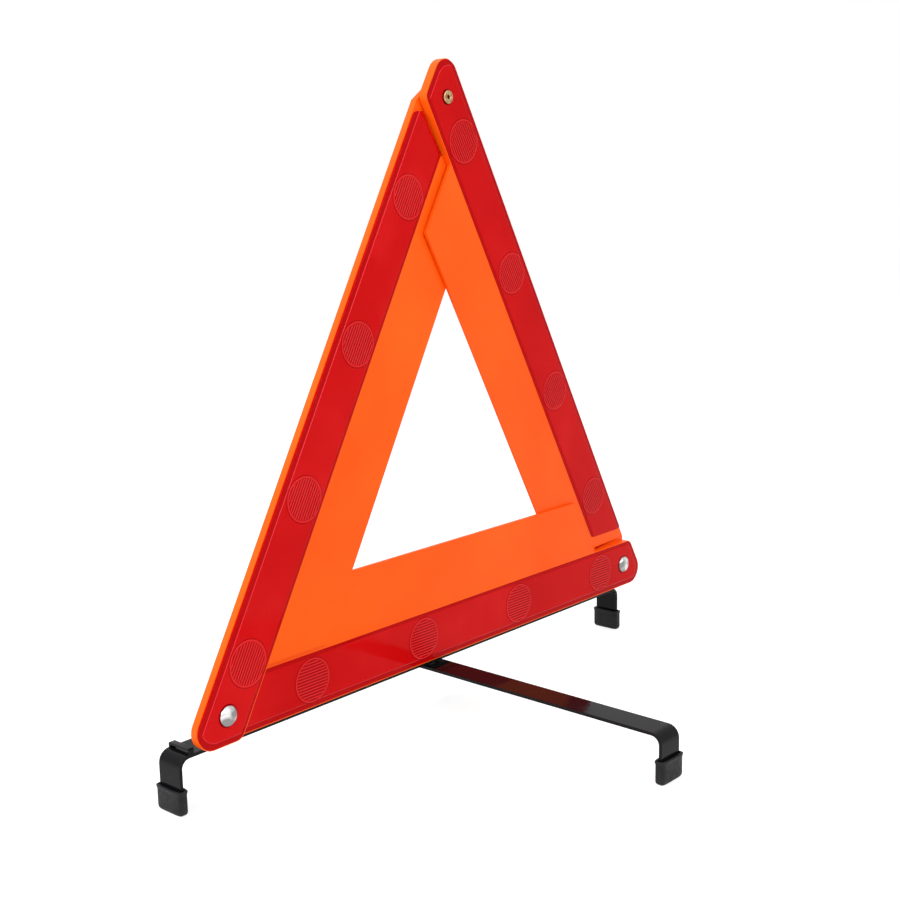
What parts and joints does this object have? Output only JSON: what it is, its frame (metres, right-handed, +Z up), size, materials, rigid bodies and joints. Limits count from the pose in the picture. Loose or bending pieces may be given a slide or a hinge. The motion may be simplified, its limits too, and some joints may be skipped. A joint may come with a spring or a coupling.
{
  "type": "warning triangle",
  "caption": "Folding roadside warning triangle: red reflector arms with orange inner strips, joined at the corners, on a flat-steel stand with a swivelling leg and rubber feet.",
  "frame": {"origin": "on the floor, under the middle of the object's box", "axes": "+X along the base arm to the right as seen from the front, +Y to the back, +Z up; the leg points to the front"},
  "size_m": [0.4446, 0.2038, 0.4121],
  "materials": {
    "orange_plastic": "satin moulded fluorescent orange",
    "red_lens": "glossy red reflector lens over fine prisms",
    "plated_steel": "bright zinc plating",
    "stud_brass": "plain turned brass",
    "black_steel": "gloss black paint",
    "foot_rubber": "matt black moulded rubber"
  },
  "bodies": {
    "base_and_stand": {"base_arm_tray": "orange_plastic", "base_lens": "red_lens", "left_corner_rivet": "plated_steel", "right_corner_rivet": "plated_steel", "left_rivet_washer": "plated_steel", "right_rivet_washer": "plated_steel", "stand_bar": "black_steel", "leg_pivot_rivet": "plated_steel", "leg_washer": "plated_steel", "left_stand_screw": "plated_steel", "right_stand_screw": "plated_steel", "left_foot_cap": "foot_rubber", "right_foot_cap": "foot_rubber"},
    "left_arm": {"left_arm_tray": "orange_plastic", "left_lens": "red_lens"},
    "right_arm": {"right_arm_tray": "orange_plastic", "right_lens": "red_lens", "apex_stud": "stud_brass"},
    "leg": {"stand_leg": "black_steel", "leg_foot_cap": "foot_rubber"}
  },
  "joints": [
    {"name": "left_arm_swing", "type": "hinge", "parent": "base_and_stand", "child": "left_arm", "pos_m": [-0.19006, 0.07451, 0.05045], "axis": [0.0192, -0.9998, 0.0111], "range_deg": [0, 70]},
    {"name": "right_arm_swing", "type": "hinge", "parent": "base_and_stand", "child": "right_arm", "pos_m": [0.20094, 0.08451, 0.05038], "axis": [-0.0192, 0.9998, 0.0111], "range_deg": [0, 70]},
    {"name": "leg_swivel", "type": "hinge", "parent": "base_and_stand", "child": "leg", "pos_m": [-0.01162, 0.09091, 0.02], "axis": [0, 0, 1], "range_deg": [-89, 90]}
  ]
}
